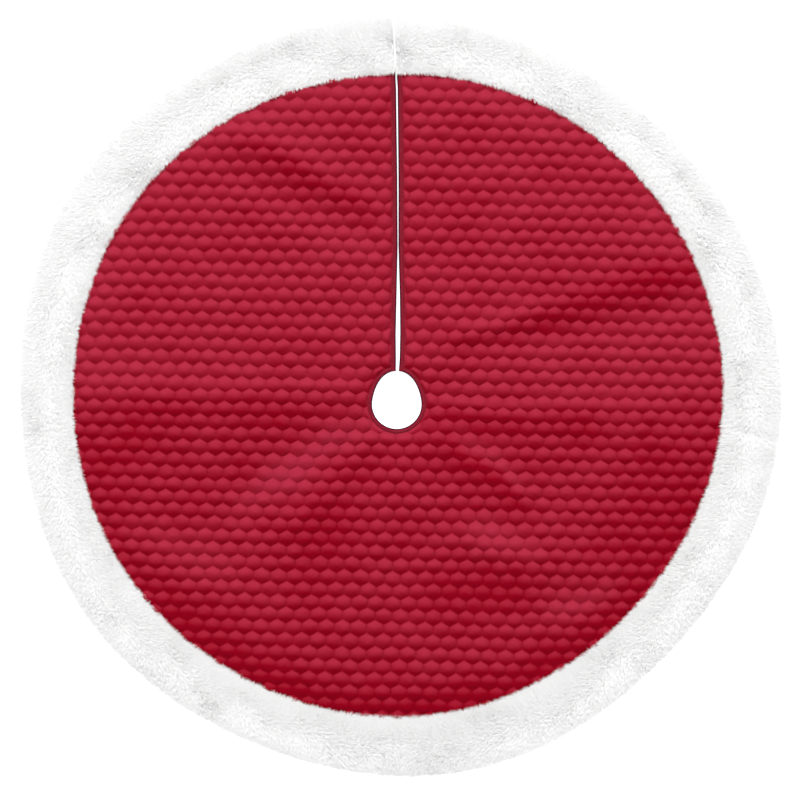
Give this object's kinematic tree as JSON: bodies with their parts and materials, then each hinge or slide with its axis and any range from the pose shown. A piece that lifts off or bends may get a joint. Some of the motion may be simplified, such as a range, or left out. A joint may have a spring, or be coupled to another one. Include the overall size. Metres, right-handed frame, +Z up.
{
  "type": "tree skirt",
  "caption": "Round quilted velvet tree skirt with a plush border, a central trunk hole and a slit; two flaps beside the slit fold back to let the trunk in.",
  "frame": {"origin": "on the floor, under the middle of the disc's outline", "axes": "+Z up, through the cloth; +Y from the trunk hole along the slit to the rim; +X to the right seen from above"},
  "size_m": [1.2196, 1.22, 0.02],
  "materials": {
    "velvet": "matte",
    "binding": "matte",
    "plush": "matte",
    "lining": "matte",
    "wadding": "matte",
    "red_thread": "satin",
    "seam_thread": "matte",
    "label": "satin"
  },
  "bodies": {
    "main_panel": {"velvet_face_main": "velvet", "wadding_main": "wadding", "lining_main": "lining", "plush_border_main": "plush", "hole_binding_main": "binding", "hole_topstitch_main": "red_thread", "border_seam_main": "seam_thread", "rim_seam_main": "seam_thread", "care_label": "label"},
    "left_flap": {"velvet_face_left": "velvet", "wadding_left": "wadding", "lining_left": "lining", "plush_border_left": "plush", "hole_binding_left": "binding", "hole_topstitch_left": "red_thread", "border_seam_left": "seam_thread", "rim_seam_left": "seam_thread", "slit_binding_left": "binding", "slit_topstitch_left": "red_thread"},
    "right_flap": {"velvet_face_right": "velvet", "wadding_right": "wadding", "lining_right": "lining", "plush_border_right": "plush", "hole_binding_right": "binding", "hole_topstitch_right": "red_thread", "border_seam_right": "seam_thread", "rim_seam_right": "seam_thread", "slit_binding_right": "binding", "slit_topstitch_right": "red_thread"}
  },
  "joints": [
    {"name": "left_fold", "type": "hinge", "parent": "main_panel", "child": "left_flap", "pos_m": [0, -0.0135, 0.0205], "axis": [0.7071, -0.7071, 0], "range_deg": [0, 179]},
    {"name": "right_fold", "type": "hinge", "parent": "main_panel", "child": "right_flap", "pos_m": [0, -0.0135, 0.0205], "axis": [0.7071, 0.7071, 0], "range_deg": [0, 179]}
  ]
}
